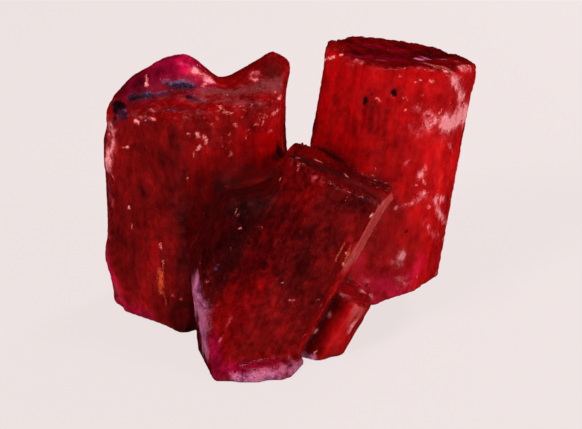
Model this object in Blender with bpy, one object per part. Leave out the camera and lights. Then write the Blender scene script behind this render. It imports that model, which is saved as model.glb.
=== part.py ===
"""A cluster of raw ruby: stubby six-sided prisms that grew into one another, standing on a flat cut.

Every crystal is described in its own frame. u runs across its section towards +X, w runs to the back and
t runs along its axis, all in millimetres from its foot. The crystals are grown one by one, given the
terraces, ribs, pits and chips of real faces, and joined in one solid with its origin under its middle.
"""

import math
import random

import bmesh
import bpy
from mathutils import Matrix, Vector, noise

MM = 0.001  # metres in a millimetre

# The ruby's colour and finish
RUBY_RED = (0.42, 0.004, 0.008, 1.0)
RUBY_ROUGHNESS = 0.18
RUBY_IOR = 1.77

# Each crystal: foot (x, y) on the ground, lean of its axis, the six corners (u, w) of its section,
# how far down it runs before it is cut, and how many small forms grow on it.
CRYSTALS = {
    "tall": {
        "foot": (-17.5, -6.2),
        "lean": (0.0, 0.0, 1.0),
        "corners": [(0.0, 0.0), (16.4, 6.0), (17.2, 14.5), (7.0, 21.5), (-12.5, 14.6), (-12.0, 8.0)],
        "length": 37.2,
        "relief": {"from": 2.0, "terraces": 10, "ribs": 12, "pits": 12, "chips": 12, "seed": 3},
    },
    "leaning": {
        "foot": (0.0, -7.0),
        "lean": (0.157, 0.216, 0.964),
        "corners": [(6.0, 0.0), (18.5, 1.6), (23.4, 10.3), (17.5, 19.5), (2.0, 18.3), (-1.7, 6.3)],
        "length": 45.4,
        "relief": {"from": 11.0, "terraces": 9, "ribs": 11, "pits": 11, "chips": 11, "seed": 11},
    },
    "front": {
        "foot": (-11.5, -22.2),
        "lean": (0.47, 0.208, 0.858),
        "corners": [(0.0, 0.0), (9.6, 4.6), (12.1, 16.0), (5.0, 23.0), (-6.6, 17.2), (-6.1, 4.4)],
        "length": 35.6,
        "relief": {"from": 3.0, "terraces": 8, "ribs": 10, "pits": 11, "chips": 10, "seed": 23},
    },
    "shoulder": {
        "foot": (-11.5, -22.2),
        "lean": (0.47, 0.208, 0.858),
        "corners": [(-8.6, 3.0), (-3.0, 6.0), (-3.0, 16.0), (-8.0, 19.0), (-12.2, 15.0), (-11.7, 5.8)],
        "length": 24.4,
        "relief": {"from": 3.0, "terraces": 3, "ribs": 4, "pits": 4, "chips": 5, "seed": 31},
    },
    "small": {
        "foot": (3.4, -16.0),
        "lean": (0.52, 0.2, 0.83),
        "corners": [(0.9, 0.0), (3.6, 2.5), (4.2, 7.4), (0.5, 9.6), (-4.0, 7.6), (-4.2, 2.8)],
        "length": 12.3,
        "relief": {"from": 2.0, "terraces": 2, "ribs": 3, "pits": 2, "chips": 4, "seed": 43},
    },
}
NEAR_POINTS = (0.03, 0.022, 0.016, 0.01, 0.005)  # points as near as this are made one, if that leaves no gap
NEEDLE_AREA = 2e-11  # square metres, below which a face is a needle and no surface
ROOT_DEPTH = 9.0  # how far each crystal runs below its foot, to be cut off flat at the ground
END_CELL = 1.1  # spacing of the grid that gives a broken end its relief
WORN_CORNER = 0.32  # how much of a long edge is worn away, straight in from the corner
WORN_RIM = (0.6, 0.42)  # how wide and how deep the rim of an end is worn down

# The leaning crystal's root is broken on a slope, lower to the left and at the back.
SLOPED_ROOT = {"at": (12.3, 0.5), "height": 6.7, "rise_u": 0.47, "rise_w": -0.10}

# Planes that broke corners away: a point of the plane and the side that is gone, in the cluster's frame.
# The first two cut the front crystal and its shoulder together.
LOW_LEFT = [((-11.9, -21.6, 0.0), (-0.955, -0.290, 0.040)), ((-15.1, -12.2, 0.0), (-0.657, 0.646, -0.389))]
BREAKS = {
    "front": [((1.24, -4.0, 32.0), (-0.805, 0.231, 0.547))],
    "tall": [
        ((-28.66, 1.95, 0.0), (-0.791, -0.606, -0.084)),
        ((-29.1, 8.4, 31.6), (-0.950, 0.150, 0.270)),
        ((-28.0, 8.4, 35.6), (-0.740, 0.260, 0.620)),
    ],
    "leaning": [((4.2, 4.7, 43.4), (-0.72, -0.45, 0.53)), ((28.4, 8.2, 39.3), (0.60, -0.30, 0.74))],
}

# The thin foot that spreads out below the front crystal: its outline on the ground, how high its outer
# edge is, and how much further in and up it has risen to the crystal.
FOOT = {
    "outline": [
        (-12.3, -20.9), (-11.6, -21.9), (-9.4, -22.15), (-7.3, -22.5), (-4.9, -22.45), (-3.2, -21.8),
        (-0.9, -21.6), (0.3, -20.7), (1.1, -19.3), (2.3, -16.6), (1.0, -13.0), (-6.0, -12.0), (-11.8, -16.5),
    ],
    "edge": 0.8,
    "rise": (1.5, 1.5),
}

# Relief of the faces: thickness, share of the face or width, length, depth of the root, and bevel.
TERRACE = {"thick": (0.18, 0.42), "across": (0.14, 0.42), "along": (8.0, 24.0), "bury": 0.9, "slope": 0.3}
RIB = {"thick": (0.14, 0.28), "wide": (0.4, 1.0), "along": (9.0, 30.0), "bury": 0.7, "slope": 0.14}
PIT = {"deep": (0.3, 0.55), "radius": (0.5, 1.1), "proud": 0.5}
CHIP = {"radius": (1.3, 2.7), "bite": (0.3, 0.62)}

# A lone step on the tall crystal's narrow left face, and the two dark hollows of the leaning one:
# side, place across the side, place along the axis and size.
LEFT_STEP = {"side": 4, "across": (0.12, 0.92), "along": (23.6, 33.0), "thick": 0.45}
HOLLOWS = [{"side": 0, "across": 0.31, "t": 41.2, "radius": 0.8}, {"side": 5, "across": 0.94, "t": 39.4, "radius": 0.9}]


def bell(distance, width):
    """A smooth hump: 1 at its middle, falling away with distance over width."""
    return math.exp(-((distance / width) ** 2))


def crust(u, w, size, seed):
    """Broken, stepped relief from -1 to 1, with lumps of about this size."""
    place = Vector((u / size, w / size, seed))
    rolling = noise.fractal(place, 0.9, 2.1, 3)
    steps = round(2.5 * noise.noise(place * 0.7 + Vector((7.1, 3.3, 0.0)))) / 2.5
    return 0.65 * rolling + 0.5 * steps


def tall_end(u, w):
    """Broken top of the tall crystal: a rim, a lobe at the back left, a peak at the back right, a crease."""
    rim = 37.2 + 0.113 * u - 0.144 * w
    middle = 2.6 * bell(u - 2.0, 9.0) * bell(w - 11.0, 6.0)
    lobe = 5.9 * bell(u - 0.2, 13.0 if u < 0.2 else 4.4) * bell(w - 15.0, 4.6)
    peak = 5.6 * max(0.0, 1.0 - math.hypot((u - 14.5) / 8.5, (w - 16.0) / 9.0))
    crease = 1.7 * bell(w - (9.2 + 0.06 * u), 1.1) / (1.0 + math.exp(1.6 * (u - 3.2)))
    return rim + middle + lobe + peak - crease + 0.42 * crust(u, w, 4.0, 1.0)


def leaning_end(u, w):
    """Growth end of the leaning crystal: a shallow dish, higher at the back, and a ledge at the right."""
    dish = 0.7 * bell(u - 9.0, 8.0) * bell(w - 9.0, 6.0)
    ledge = 0.75 / (1.0 + math.exp(-4.0 * (0.83 * (u - 15.2) - 0.56 * (w - 9.0))))
    back = 0.9 * bell(u - 10.0, 8.0) * bell(w - 19.0, 5.0)
    return 45.2 + 0.105 * w - dish + ledge + back + 0.22 * crust(u, w, 4.0, 2.0)


def front_end(u, w):
    """Rough end of the front crystal, a little higher at the back."""
    return 35.6 + 0.09 * w - 0.5 * bell(w - 7.0, 2.2) + 0.4 * crust(u, w, 3.2, 3.0)


def shoulder_end(u, w):
    """End of the side growth, broken on a slope up to the crystal that it leans on."""
    return 24.4 + 0.74 * (u + 11.7) + 0.1 * w + 0.4 * crust(u, w, 2.6, 4.0)


def small_end(u, w):
    """End of the small crystal in front of the leaning one."""
    return 11.7 + 0.11 * w + 0.3 * crust(u, w, 2.2, 5.0)


ENDS = {
    "tall": tall_end,
    "leaning": leaning_end,
    "front": front_end,
    "shoulder": shoulder_end,
    "small": small_end,
}


def root(name, u, w):
    """Height of a crystal's lower end. All but the leaning one are cut off below the ground."""
    if name != "leaning":
        return -ROOT_DEPTH
    slope = SLOPED_ROOT
    rise = slope["rise_u"] * (u - slope["at"][0]) + slope["rise_w"] * (w - slope["at"][1])
    return slope["height"] + rise + 0.35 * crust(u, w, 3.5, 6.0)


def placement(crystal):
    """The matrix from a crystal's own millimetres to the cluster's metres."""
    axis = Vector(crystal["lean"]).normalized()
    across = (Vector((1.0, 0.0, 0.0)) - axis.x * axis).normalized()
    back = axis.cross(across)
    turn = Matrix((across, back, axis)).transposed().to_4x4()
    foot = Vector((*crystal["foot"], 0.0)) * MM
    return Matrix.Translation(foot) @ turn @ Matrix.Scale(MM, 4)


def new_object(name, bm, matrix=None):
    """Makes a mesh object from a bmesh, with its place in its points, and frees the bmesh."""
    bmesh.ops.transform(bm, matrix=matrix or Matrix.Scale(MM, 4), verts=bm.verts)
    bmesh.ops.triangulate(bm, faces=bm.faces)
    bmesh.ops.recalc_face_normals(bm, faces=bm.faces)
    mesh = bpy.data.meshes.new(name)
    bm.to_mesh(mesh)
    bm.free()
    made = bpy.data.objects.new(name, mesh)
    bpy.context.scene.collection.objects.link(made)
    return made


def combine(body, tool, operation):
    """Joins the tool to the body or cuts it away, and removes the tool."""
    boolean = body.modifiers.new(operation.lower(), "BOOLEAN")
    boolean.operation = operation
    boolean.solver = "EXACT"
    boolean.object = tool
    bpy.context.view_layer.update()
    graph = bpy.context.evaluated_depsgraph_get()
    result = bpy.data.meshes.new_from_object(body.evaluated_get(graph))
    body.modifiers.clear()
    body.data = result
    bpy.data.objects.remove(tool)


def side_of(crystal, index):
    """Start, direction, outward normal and length of one side of the section, as seen from above."""
    corners = crystal["corners"]
    start = Vector(corners[index])
    along = Vector(corners[(index + 1) % len(corners)]) - start
    direction = along.normalized()
    return start, direction, Vector((direction.y, -direction.x)), along.length


def split(bm, point, normal, trim):
    """Cuts a flat grid along a line, and with trim takes away what lies beyond it."""
    everything = bm.verts[:] + bm.edges[:] + bm.faces[:]
    place, facing = point.to_3d(), normal.to_3d()
    bmesh.ops.bisect_plane(bm, geom=everything, dist=0.03, plane_co=place, plane_no=facing, clear_outer=trim)


def rim_wear(crystal, u, w):
    """How much lower the outermost rim of an end is."""
    gaps = []
    for index in range(len(crystal["corners"])):
        start, _, outward, _ = side_of(crystal, index)
        gaps.append((start - Vector((u, w))).dot(outward))
    wide, deep = WORN_RIM
    return deep * max(0.0, 1.0 - max(0.0, min(gaps)) / wide)


def grow_prism(name, crystal):
    """A six-sided prism with relief on its ends: a trimmed grid, drawn out along the axis."""
    bm = bmesh.new()
    reach = 30.0
    cells = round(2 * reach / END_CELL)
    bmesh.ops.create_grid(bm, x_segments=cells, y_segments=cells, size=reach)
    sides = [side_of(crystal, index) for index in range(len(crystal["corners"]))]
    for index, (start, _, outward, _) in enumerate(sides):
        split(bm, start, outward, True)
        split(bm, start - outward * WORN_RIM[0], outward, False)
        edge_on = (outward + sides[index - 1][2]).normalized()
        split(bm, start - edge_on * WORN_CORNER, edge_on, True)
    drawn = bmesh.ops.extrude_face_region(bm, geom=bm.faces[:], use_keep_orig=True)
    upper = {v for v in drawn["geom"] if isinstance(v, bmesh.types.BMVert)}
    for v in bm.verts:
        u, w, _ = v.co
        v.co.z = ENDS[name](u, w) - rim_wear(crystal, u, w) if v in upper else root(name, u, w)
    bmesh.ops.recalc_face_normals(bm, faces=bm.faces)
    bmesh.ops.dissolve_limit(bm, angle_limit=math.radians(2.0), verts=bm.verts, edges=bm.edges)
    return new_object(name, bm, placement(crystal))


def plate(crystal, index, outline, inner, outer, inset):
    """A low slab on one side, from inner to outer along its normal. outline holds (across, t) points."""
    start, direction, outward, _ = side_of(crystal, index)
    middle = sum((Vector(p) for p in outline), Vector((0.0, 0.0))) / len(outline)
    bm = bmesh.new()
    rings = []
    for height, shrink in ((inner, 0.0), (outer, inset)):
        ring = []
        for point in outline:
            arm = Vector(point) - middle
            across, t = middle + arm * max(0.2, 1.0 - shrink / arm.length)
            flat = start + direction * across + outward * height
            ring.append(bm.verts.new((flat.x, flat.y, t)))
        rings.append(ring)
    bm.faces.new(rings[0])
    bm.faces.new(reversed(rings[1]))
    for k in range(len(outline)):
        n = (k + 1) % len(outline)
        bm.faces.new((rings[0][k], rings[0][n], rings[1][n], rings[1][k]))
    return new_object("plate", bm, placement(crystal))


def long_patch(low, high, bottom, top, draw):
    """A long outline between low and high across a face, with uneven ends like those of a growth step."""
    width = high - low
    ends = [min(1.8, width) * draw.uniform(0.1, 0.9) for _ in range(4)]
    peaks = [low + width * draw.uniform(0.3, 0.7) for _ in range(2)]
    return [
        (low, bottom + ends[0]),
        (peaks[0], bottom),
        (high, bottom + ends[1]),
        (high, top - ends[2]),
        (peaks[1], top),
        (low, top - ends[3]),
    ]


def add_plates(body, crystal, draw, ways, count):
    """Growth steps or lengthwise ribs: thin plates fused to the faces."""
    lowest = crystal["relief"]["from"]
    highest = crystal["length"] - 2.0
    for number in range(count):
        index = number % len(crystal["corners"])
        length = side_of(crystal, index)[3]
        if "wide" in ways:
            half = 0.5 * draw.uniform(*ways["wide"])
        else:
            half = 0.5 * length * draw.uniform(*ways["across"])
        middle = draw.uniform(half + 0.6, max(half + 0.7, length - half - 0.6))
        along = min(draw.uniform(*ways["along"]), 0.9 * (highest - lowest))
        bottom = draw.uniform(lowest, highest - along)
        outline = long_patch(middle - half, middle + half, bottom, bottom + along, draw)
        tool = plate(crystal, index, outline, -ways["bury"], draw.uniform(*ways["thick"]), ways["slope"])
        combine(body, tool, "UNION")


def pit(crystal, index, across, t, radius, depth, turn):
    """A six-sided hollow in a face that narrows to its floor."""
    outline = [
        (across + radius * math.cos(a), t + 1.3 * radius * math.sin(a))
        for a in (turn + math.radians(60.0) * k for k in range(6))
    ]
    start, direction, outward, _ = side_of(crystal, index)
    bm = bmesh.new()
    rings = []
    for height, share in ((PIT["proud"], 1.25), (-depth, 0.45)):
        ring = []
        for point in outline:
            x = across + (point[0] - across) * share
            flat = start + direction * x + outward * height
            ring.append(bm.verts.new((flat.x, flat.y, t + (point[1] - t) * share)))
        rings.append(ring)
    bm.faces.new(rings[0])
    bm.faces.new(reversed(rings[1]))
    for k in range(6):
        n = (k + 1) % 6
        bm.faces.new((rings[0][k], rings[0][n], rings[1][n], rings[1][k]))
    return new_object("pit", bm, placement(crystal))


def add_pits(body, crystal, draw, count):
    """Etched hollows, scattered over the faces."""
    for number in range(count):
        index = (2 * number + 1) % len(crystal["corners"])
        length = side_of(crystal, index)[3]
        radius = draw.uniform(*PIT["radius"])
        across = draw.uniform(radius + 0.6, length - radius - 0.6)
        t = draw.uniform(crystal["relief"]["from"] + 2.0, crystal["length"] - 3.0)
        tool = pit(crystal, index, across, t, radius, draw.uniform(*PIT["deep"]), draw.uniform(0.0, 1.0))
        combine(body, tool, "DIFFERENCE")


def add_chips(body, crystal, draw, count):
    """Shell-shaped chips knocked out of the long edges."""
    corners = crystal["corners"]
    middle = sum((Vector(c) for c in corners), Vector((0.0, 0.0))) / len(corners)
    for number in range(count):
        corner = Vector(corners[number % len(corners)])
        outward = (corner - middle).normalized()
        radius = draw.uniform(*CHIP["radius"])
        centre = corner + outward * (radius - draw.uniform(*CHIP["bite"]))
        t = draw.uniform(crystal["relief"]["from"], crystal["length"] - 1.0)
        bm = bmesh.new()
        bmesh.ops.create_icosphere(bm, subdivisions=2, radius=radius)
        stretch = Matrix.Diagonal((1.0, 1.0, draw.uniform(1.2, 2.2), 1.0))
        tilt = Matrix.Rotation(draw.uniform(-0.5, 0.5), 4, "X") @ Matrix.Rotation(draw.uniform(0, 3), 4, "Z")
        place = Matrix.Translation((centre.x, centre.y, t))
        tool = new_object("chip", bm, placement(crystal) @ place @ tilt @ stretch)
        combine(body, tool, "DIFFERENCE")


def break_away(body, point, gone):
    """Cuts off what lies on one side of a plane, with a block of which one face is that plane."""
    size = 150.0
    towards = Vector(gone).normalized()
    bm = bmesh.new()
    bmesh.ops.create_cube(bm, size=size)
    turn = towards.to_track_quat("Z", "Y").to_matrix().to_4x4()
    place = Matrix.Translation(Vector(point) + towards * (size / 2))
    combine(body, new_object("block", bm, Matrix.Scale(MM, 4) @ place @ turn), "DIFFERENCE")


def add_named_forms(name, body, crystal):
    """The single forms that tell these crystals apart."""
    if name == "tall":
        length = side_of(crystal, LEFT_STEP["side"])[3]
        low, high = (length * share for share in LEFT_STEP["across"])
        outline = long_patch(low, high, *LEFT_STEP["along"], random.Random(5))
        combine(body, plate(crystal, LEFT_STEP["side"], outline, -0.9, LEFT_STEP["thick"], 0.3), "UNION")
    if name == "leaning":
        for hollow in HOLLOWS:
            across = side_of(crystal, hollow["side"])[3] * hollow["across"]
            combine(body, pit(crystal, hollow["side"], across, hollow["t"], hollow["radius"], 0.8, 0.3), "DIFFERENCE")
    for point, gone in BREAKS.get(name, []):
        break_away(body, point, gone)


def make_crystal(name, crystal):
    """One finished crystal, before it is joined to the others."""
    body = grow_prism(name, crystal)
    relief = crystal["relief"]
    draw = random.Random(relief["seed"])
    add_plates(body, crystal, draw, TERRACE, relief["terraces"])
    add_plates(body, crystal, draw, RIB, relief["ribs"])
    add_pits(body, crystal, draw, relief["pits"])
    add_chips(body, crystal, draw, relief["chips"])
    add_named_forms(name, body, crystal)
    return body


def spreading_foot():
    """The thin, uneven foot in front: upright at its edge, then sloping up to the crystal."""
    outline = [Vector(point) for point in FOOT["outline"]]
    middle = sum(outline, Vector((0.0, 0.0))) / len(outline)
    inward, rise = FOOT["rise"]
    bm = bmesh.new()
    rings = []
    for height, inset in ((-2.0, 0.0), (FOOT["edge"], 0.15), (FOOT["edge"] + rise, inward)):
        ring = []
        for point in outline:
            arm = point - middle
            x, y = middle + arm * (1.0 - inset / arm.length)
            ring.append(bm.verts.new((x, y, height + (0.3 * noise.noise(Vector((x, y, 0.7))) if inset else 0.0))))
        rings.append(ring)
    bm.faces.new(rings[0])
    bm.faces.new(reversed(rings[2]))
    for low, high in zip(rings, rings[1:]):
        for k in range(len(low)):
            n = (k + 1) % len(low)
            bm.faces.new((low[k], low[n], high[n], high[k]))
    return new_object("foot", bm)


def ruby():
    """The one material: red, see-through and a little worn."""
    material = bpy.data.materials.new("ruby")
    material.use_nodes = True
    shader = material.node_tree.nodes["Principled BSDF"]
    shader.inputs["Base Color"].default_value = RUBY_RED
    shader.inputs["Roughness"].default_value = RUBY_ROUGHNESS
    shader.inputs["Metallic"].default_value = 0.0
    shader.inputs["IOR"].default_value = RUBY_IOR
    shader.inputs["Transmission Weight"].default_value = 0.6
    return material


def shell_from(face, visited):
    """All faces joined to this one, edge by edge."""
    shell = [face]
    visited.add(face)
    for reached in shell:
        for edge in reached.edges:
            for neighbour in edge.link_faces:
                if neighbour not in visited:
                    visited.add(neighbour)
                    shell.append(neighbour)
    return shell


def open_edges(bm):
    """Edges that do not join exactly two faces."""
    return [edge for edge in bm.edges if not edge.is_manifold]


def drop_needles(bm):
    """Takes out faces with no area that hang on edges already closed, and closes what is left open."""
    for _ in range(4):
        flat = {face for edge in open_edges(bm) for face in edge.link_faces if face.calc_area() < NEEDLE_AREA}
        bmesh.ops.delete(bm, geom=list(flat), context="FACES_ONLY")
        bmesh.ops.delete(bm, geom=[edge for edge in bm.edges if not edge.link_faces], context="EDGES")
        rims = [edge for edge in bm.edges if len(edge.link_faces) == 1]
        bmesh.ops.holes_fill(bm, edges=rims, sides=6)


def tidied(mesh, nearness):
    """A copy of the mesh without enclosed pockets, with flat areas merged and near points made one."""
    bm = bmesh.new()
    bm.from_mesh(mesh)
    visited = set()
    shells = [shell_from(face, visited) for face in bm.faces if face not in visited]
    inner = [face for shell in sorted(shells, key=len)[:-1] for face in shell]
    bmesh.ops.delete(bm, geom=inner, context="FACES")
    bmesh.ops.dissolve_limit(bm, angle_limit=math.radians(0.7), verts=bm.verts, edges=bm.edges)
    bmesh.ops.triangulate(bm, faces=bm.faces)
    drop_needles(bm)
    bmesh.ops.remove_doubles(bm, verts=bm.verts, dist=nearness * MM)
    drop_needles(bm)
    bmesh.ops.dissolve_degenerate(bm, edges=bm.edges, dist=nearness * MM)
    bmesh.ops.triangulate(bm, faces=bm.faces, quad_method="BEAUTY", ngon_method="BEAUTY")
    drop_needles(bm)
    return bm


def tidy(body):
    """Cleans the joined solid, with the widest merging that leaves it closed."""
    for nearness in NEAR_POINTS:
        bm = tidied(body.data, nearness)
        gaps = len(open_edges(bm))
        if not gaps:
            break
    print(f"merged within {nearness} mm, open edges {gaps}")
    bm.to_mesh(body.data)
    bm.free()


def stand_on_middle(body):
    """Puts the origin under the middle of the box round the cluster, on the ground."""
    points = [v.co for v in body.data.vertices]
    middle_x = (min(p.x for p in points) + max(p.x for p in points)) / 2
    middle_y = (min(p.y for p in points) + max(p.y for p in points)) / 2
    body.data.transform(Matrix.Translation((-middle_x, -middle_y, 0.0)))
    print(f"middle was at {middle_x / MM:.3f}, {middle_y / MM:.3f} mm")


def main():
    for old in list(bpy.data.objects):
        bpy.data.objects.remove(old)
    grown = {name: make_crystal(name, crystal) for name, crystal in CRYSTALS.items()}
    combine(grown["front"], grown.pop("shoulder"), "UNION")
    for point, gone in LOW_LEFT:
        break_away(grown["front"], point, gone)
    cluster = grown.pop("tall")
    for crystal in grown.values():
        combine(cluster, crystal, "UNION")
    combine(cluster, spreading_foot(), "UNION")
    break_away(cluster, (0.0, 0.0, 0.0), (0.0, 0.0, -1.0))
    tidy(cluster)
    stand_on_middle(cluster)
    cluster.name = "ruby_crystal_cluster"
    cluster.data.name = "ruby_crystal_cluster"
    cluster.data.materials.clear()
    cluster.data.materials.append(ruby())
    print("triangles", sum(len(p.vertices) - 2 for p in cluster.data.polygons))


main()
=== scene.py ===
import math

import bmesh
import bpy
import numpy as np
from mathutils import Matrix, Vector
from mathutils.bvhtree import BVHTree


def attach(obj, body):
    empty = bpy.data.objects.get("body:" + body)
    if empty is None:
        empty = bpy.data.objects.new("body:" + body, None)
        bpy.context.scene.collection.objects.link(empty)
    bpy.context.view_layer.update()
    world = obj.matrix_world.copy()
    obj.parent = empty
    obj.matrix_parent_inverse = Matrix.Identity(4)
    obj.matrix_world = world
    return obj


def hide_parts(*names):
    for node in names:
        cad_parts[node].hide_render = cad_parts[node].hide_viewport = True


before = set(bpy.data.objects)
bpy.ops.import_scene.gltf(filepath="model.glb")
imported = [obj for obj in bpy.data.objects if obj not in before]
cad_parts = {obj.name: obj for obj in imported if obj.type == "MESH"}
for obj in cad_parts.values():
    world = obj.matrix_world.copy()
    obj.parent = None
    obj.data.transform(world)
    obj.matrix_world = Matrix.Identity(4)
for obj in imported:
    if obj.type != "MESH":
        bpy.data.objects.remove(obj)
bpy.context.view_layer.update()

mm = 0.001


# source is a socket to link, or a plain value for the target socket
def feed(tree, target, source):
    if isinstance(source, bpy.types.NodeSocket):
        tree.links.new(source, target)
    else:
        target.default_value = source


# inputs go by their label, or by their number where two have the same label
def addNode(tree, kind, inputs=(), **settings):
    node = tree.nodes.new(kind)
    for name, value in settings.items():
        setattr(node, name, value)
    for label, source in dict(inputs).items():
        feed(tree, node.inputs[label], source)
    return node


def maths(tree, operation, first, second=0.0, third=0.0, clamp=False):
    inputs = {0: first, 1: second, 2: third}
    return addNode(tree, "ShaderNodeMath", inputs, operation=operation, use_clamp=clamp).outputs[0]


def times(tree, first, second):
    return maths(tree, "MULTIPLY", first, second)


# a noise runs from 0 to 1, and this turns it to either side of 0
def centred(tree, value):
    return maths(tree, "SUBTRACT", value, 0.5)


# start plus each value times its weight
def addUp(tree, start, *parts):
    for value, weight in parts:
        start = maths(tree, "MULTIPLY_ADD", value, weight, start)
    return start


def vectorMaths(tree, operation, first, second):
    other = "Scale" if operation == "SCALE" else 1
    return addNode(tree, "ShaderNodeVectorMath", {0: first, other: second}, operation=operation).outputs[0]


def remap(tree, value, low, high, toLow=0.0, toHigh=1.0, kind="SMOOTHSTEP"):
    inputs = {"Value": value, "From Min": low, "From Max": high, "To Min": toLow, "To Max": toHigh}
    return addNode(tree, "ShaderNodeMapRange", inputs, interpolation_type=kind).outputs["Result"]


def noise(tree, vector, scale, detail, roughness, distortion=0.0):
    inputs = {"Vector": vector, "Scale": scale, "Detail": detail}
    inputs.update({"Roughness": roughness, "Distortion": distortion})
    return addNode(tree, "ShaderNodeTexNoise", inputs, noise_dimensions="3D").outputs["Fac"]


# noise of a size in mm, drawn out along the growth direction where squeeze is small
def grownNoise(tree, space, size, squeeze, detail, roughness, distortion=0.0, finer=1.0):
    drawn = vectorMaths(tree, "MULTIPLY", space, (1, 1, squeeze))
    return noise(tree, drawn, maths(tree, "DIVIDE", finer, size), detail, roughness, distortion)


# a small push in any direction, from the colours of a noise
def noisePush(tree, vector, scale, reach):
    bend = addNode(tree, "ShaderNodeTexNoise", {"Vector": vector, "Scale": scale}, noise_dimensions="3D")
    swing = vectorMaths(tree, "SUBTRACT", bend.outputs["Color"], (0.5, 0.5, 0.5))
    return vectorMaths(tree, "SCALE", swing, reach)


def mixColour(tree, factor, first, second, blend="MIX"):
    inputs = {0: factor, 6: first, 7: second}  # its two colour sockets are numbers 6 and 7
    return addNode(tree, "ShaderNodeMix", inputs, data_type="RGBA", blend_type=blend).outputs[2]


def ramp(tree, value, stops):
    node = addNode(tree, "ShaderNodeValToRGB", {0: value})
    band = node.color_ramp
    while len(band.elements) < len(stops):
        band.elements.new(0.5)
    for element, (place, colour) in zip(band.elements, stops):
        element.position = place
        element.color = (*colour, 1)
    return node.outputs[0]


# each label comes with its default value, or with the type of its socket where it has no default
def newGroup(name, kind, inputs, outputs):
    tree = bpy.data.node_groups.new(name, kind)
    for rows, way in ((inputs, "INPUT"), (outputs, "OUTPUT")):
        for label, default in rows.items():
            plain = {float: "NodeSocketFloat", int: "NodeSocketInt"}.get(type(default))
            socket = tree.interface.new_socket(name=label, in_out=way, socket_type=plain or default)
            if plain:
                socket.default_value = default
    return tree, tree.nodes.new("NodeGroupInput").outputs, tree.nodes.new("NodeGroupOutput").inputs


def useGroup(tree, group, inputs):
    return addNode(tree, "ShaderNodeGroup", inputs, node_tree=group)


def linkObject(name, data):
    thing = bpy.data.objects.new(name, data)
    bpy.context.scene.collection.objects.link(thing)
    return thing


# the piece's modifiers turned into plain mesh
def applied(piece):
    bpy.context.view_layer.update()
    live = piece.evaluated_get(bpy.context.evaluated_depsgraph_get())
    mesh = bpy.data.meshes.new_from_object(live)
    piece.modifiers.clear()
    piece.data = mesh


# a Geometry Nodes modifier with its inputs set by the sockets' identifiers
def addTree(piece, tree, values):
    modifier = piece.modifiers.new(tree.name, "NODES")
    modifier.node_group = tree
    for item in tree.interface.items_tree:
        if item.in_out == "INPUT" and item.name in values:
            modifier[item.identifier] = values[item.name]


frontView = {
    "lens": 100,  # mm
    "sensor": 36,  # mm
    "elevation": 25,  # degrees down
    "distance": 260,  # mm
    "aim": (0.186, 0.409, 18.1),  # mm
    "nearest": 10,  # mm
    "frame": (582, 429),  # width and height in pixels
}


# s is always the dictionary with what a user would change
def makeCamera(s):
    data = bpy.data.cameras.new("frontCamera")
    data.lens = s["lens"]
    data.sensor_width = s["sensor"]
    data.clip_start = s["nearest"] * mm
    camera = linkObject("frontCamera", data)
    tilt = math.radians(s["elevation"])
    away = np.array((0, -math.cos(tilt), math.sin(tilt)))
    camera.location = np.array(s["aim"]) * mm + s["distance"] * mm * away
    camera.rotation_euler = (math.pi / 2 - tilt, 0, 0)
    bpy.context.scene.camera = camera


makeCamera(frontView)

studio = {
    "roomLight": 0.22,
    "roomColour": (1.0, 0.97, 0.965, 1),
    "lamps": [
        # name, place mm, aim mm, size mm, watts, colour, lights the body, shows in the gloss
        ("keyLamp", (-260, -260, 330), (0, 0, 15), 140, 3.0, (1.0, 0.97, 0.95), True, False),
        ("rearLamp", (210, 260, 210), (0, 0, 20), 120, 1.6, (1.0, 0.95, 0.93), True, False),
        ("sideLamp", (330, -120, 160), (5, 0, 20), 90, 1.35, (1.0, 0.96, 0.95), True, False),
        ("glintLamp", (130, -240, 400), (0, 0, 20), 30, 0.08, (1.0, 0.75, 0.73), False, True),
        ("rimGlintLamp", (320, -60, 230), (5, 0, 20), 34, 0.08, (1.0, 0.74, 0.72), False, True),
    ],
}


def makeLights(s):
    for name, place, aim, size, watts, colour, onBody, inGloss in s["lamps"]:
        data = bpy.data.lights.new(name, "AREA")
        data.shape = "DISK"
        data.size = size * mm
        data.energy = watts
        data.color = colour
        lamp = linkObject(name, data)
        lamp.location = np.array(place) * mm
        lamp.visible_diffuse = onBody
        lamp.visible_glossy = inGloss
        lamp.visible_transmission = False  # the clear part of the stone would mirror it
        lamp.rotation_euler = (Vector(place) - Vector(aim)).to_track_quat("Z", "Y").to_euler()
    world = bpy.data.worlds.new("softRoom")
    bpy.context.scene.world = world
    world.use_nodes = True
    background = world.node_tree.nodes["Background"]
    background.inputs["Color"].default_value = s["roomColour"]
    background.inputs["Strength"].default_value = s["roomLight"]
    world.cycles_visibility.glossy = False  # a gloss shows only the glint lamps


makeLights(studio)
bpy.context.scene.view_settings.view_transform = "Standard"
print("camera and lights placed")

floorLook = {
    "half": 3000,  # mm
    "drop": 0.02,  # mm under the stone
    "colour": (0.847, 0.768, 0.760),
    "glow": 0.92,  # share of the colour that doesn't depend on the lamps
    "paint": 0.05,  # share that does
    "roughness": 0.9,
}


def setPlain(shader, values):
    for label, value in values.items():
        shader.inputs[label].default_value = value


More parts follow.
